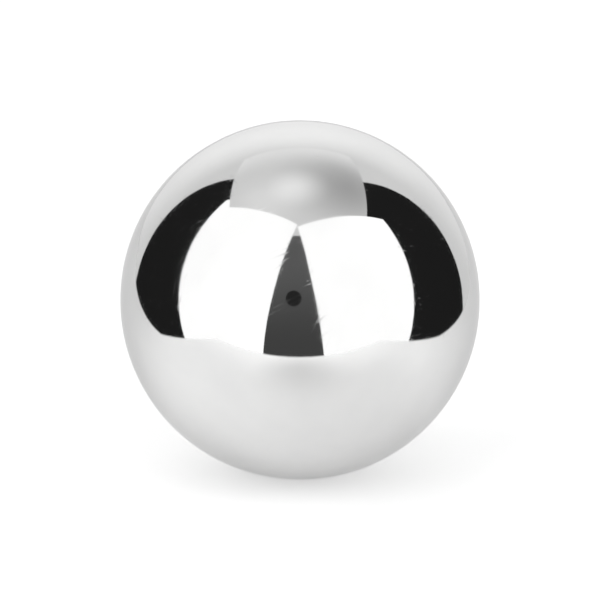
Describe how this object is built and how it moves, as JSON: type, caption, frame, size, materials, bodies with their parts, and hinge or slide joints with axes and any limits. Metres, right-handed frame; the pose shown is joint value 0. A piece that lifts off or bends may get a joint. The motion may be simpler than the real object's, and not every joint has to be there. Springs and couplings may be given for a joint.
{
  "type": "sphere magnet",
  "caption": "Loose ball magnet in solid magnet alloy with a mirror-bright nickel plating, magnetised straight through from its south pole to its north pole.",
  "frame": {"origin": "the ball's centre", "axes": "+Z is the magnetic axis and points out of the north pole; the ball is round, so X and Y are any two directions across it"},
  "size_m": [0.005, 0.005, 0.005],
  "materials": {
    "nickel_plate": "mirror-bright nickel plating over a tumbled ball"
  },
  "bodies": {
    "root": {"magnet_ball": "nickel_plate"}
  },
  "joints": []
}
